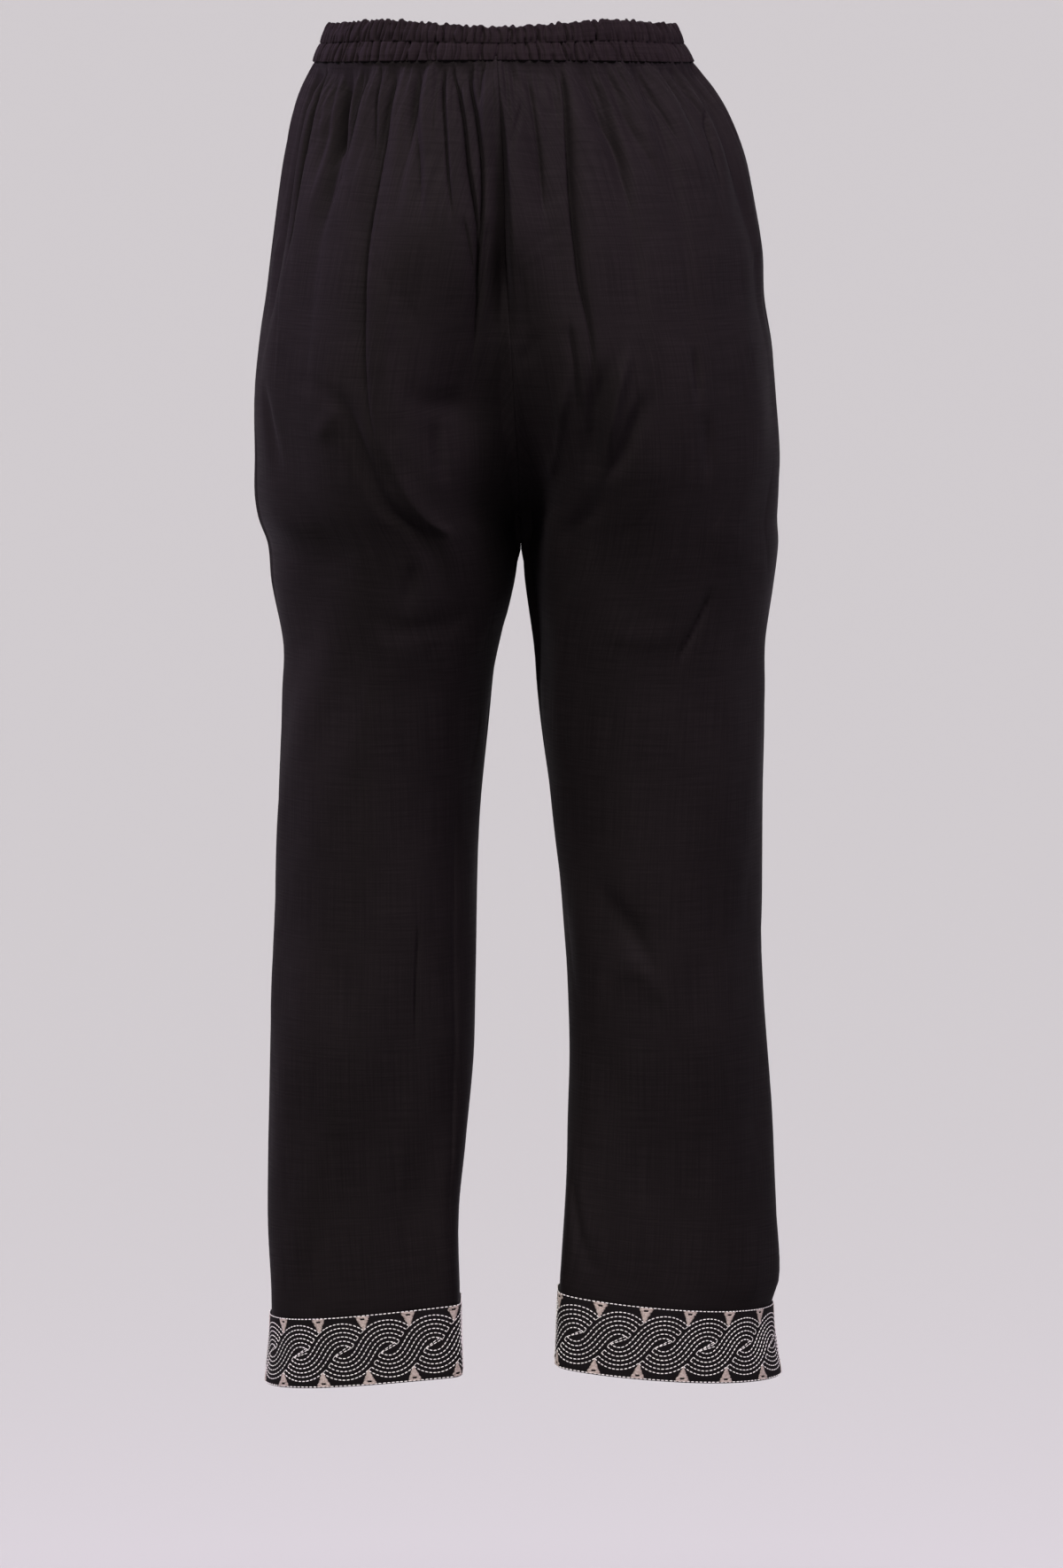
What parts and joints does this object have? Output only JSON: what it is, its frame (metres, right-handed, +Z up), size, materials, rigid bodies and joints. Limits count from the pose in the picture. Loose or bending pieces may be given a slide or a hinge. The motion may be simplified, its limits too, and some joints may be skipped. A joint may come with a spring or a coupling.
{
  "type": "straight trousers",
  "caption": "Straight-leg black cotton trousers in the hollow shape of wear, with a gathered waistband and a band of embroidered rope pattern round each hem.",
  "frame": {"origin": "centre of the waist opening, at the height of the waistband's middle seam at the sides", "axes": "+Z up, out of the waist opening; the front faces -Y and the back +Y; the wearer's left is +X"},
  "size_m": [0.3704, 0.2728, 0.9575],
  "materials": {
    "trouser_cotton": "black plain-weave cotton with a fine slub, matt with a soft sheen",
    "waistband_cotton": "the same black cotton, finely gathered on elastic",
    "hem_band_cotton": "black cotton, closely worked with thread",
    "white_thread": "off-white cotton running stitches",
    "beige_thread": "beige satin-stitched thread with a faint sheen"
  },
  "bodies": {
    "root": {"waistband": "waistband_cotton", "back_left": "trouser_cotton", "back_right": "trouser_cotton", "front_left": "trouser_cotton", "front_right": "trouser_cotton", "cuff_left": "hem_band_cotton", "cuff_right": "hem_band_cotton"}
  },
  "joints": []
}
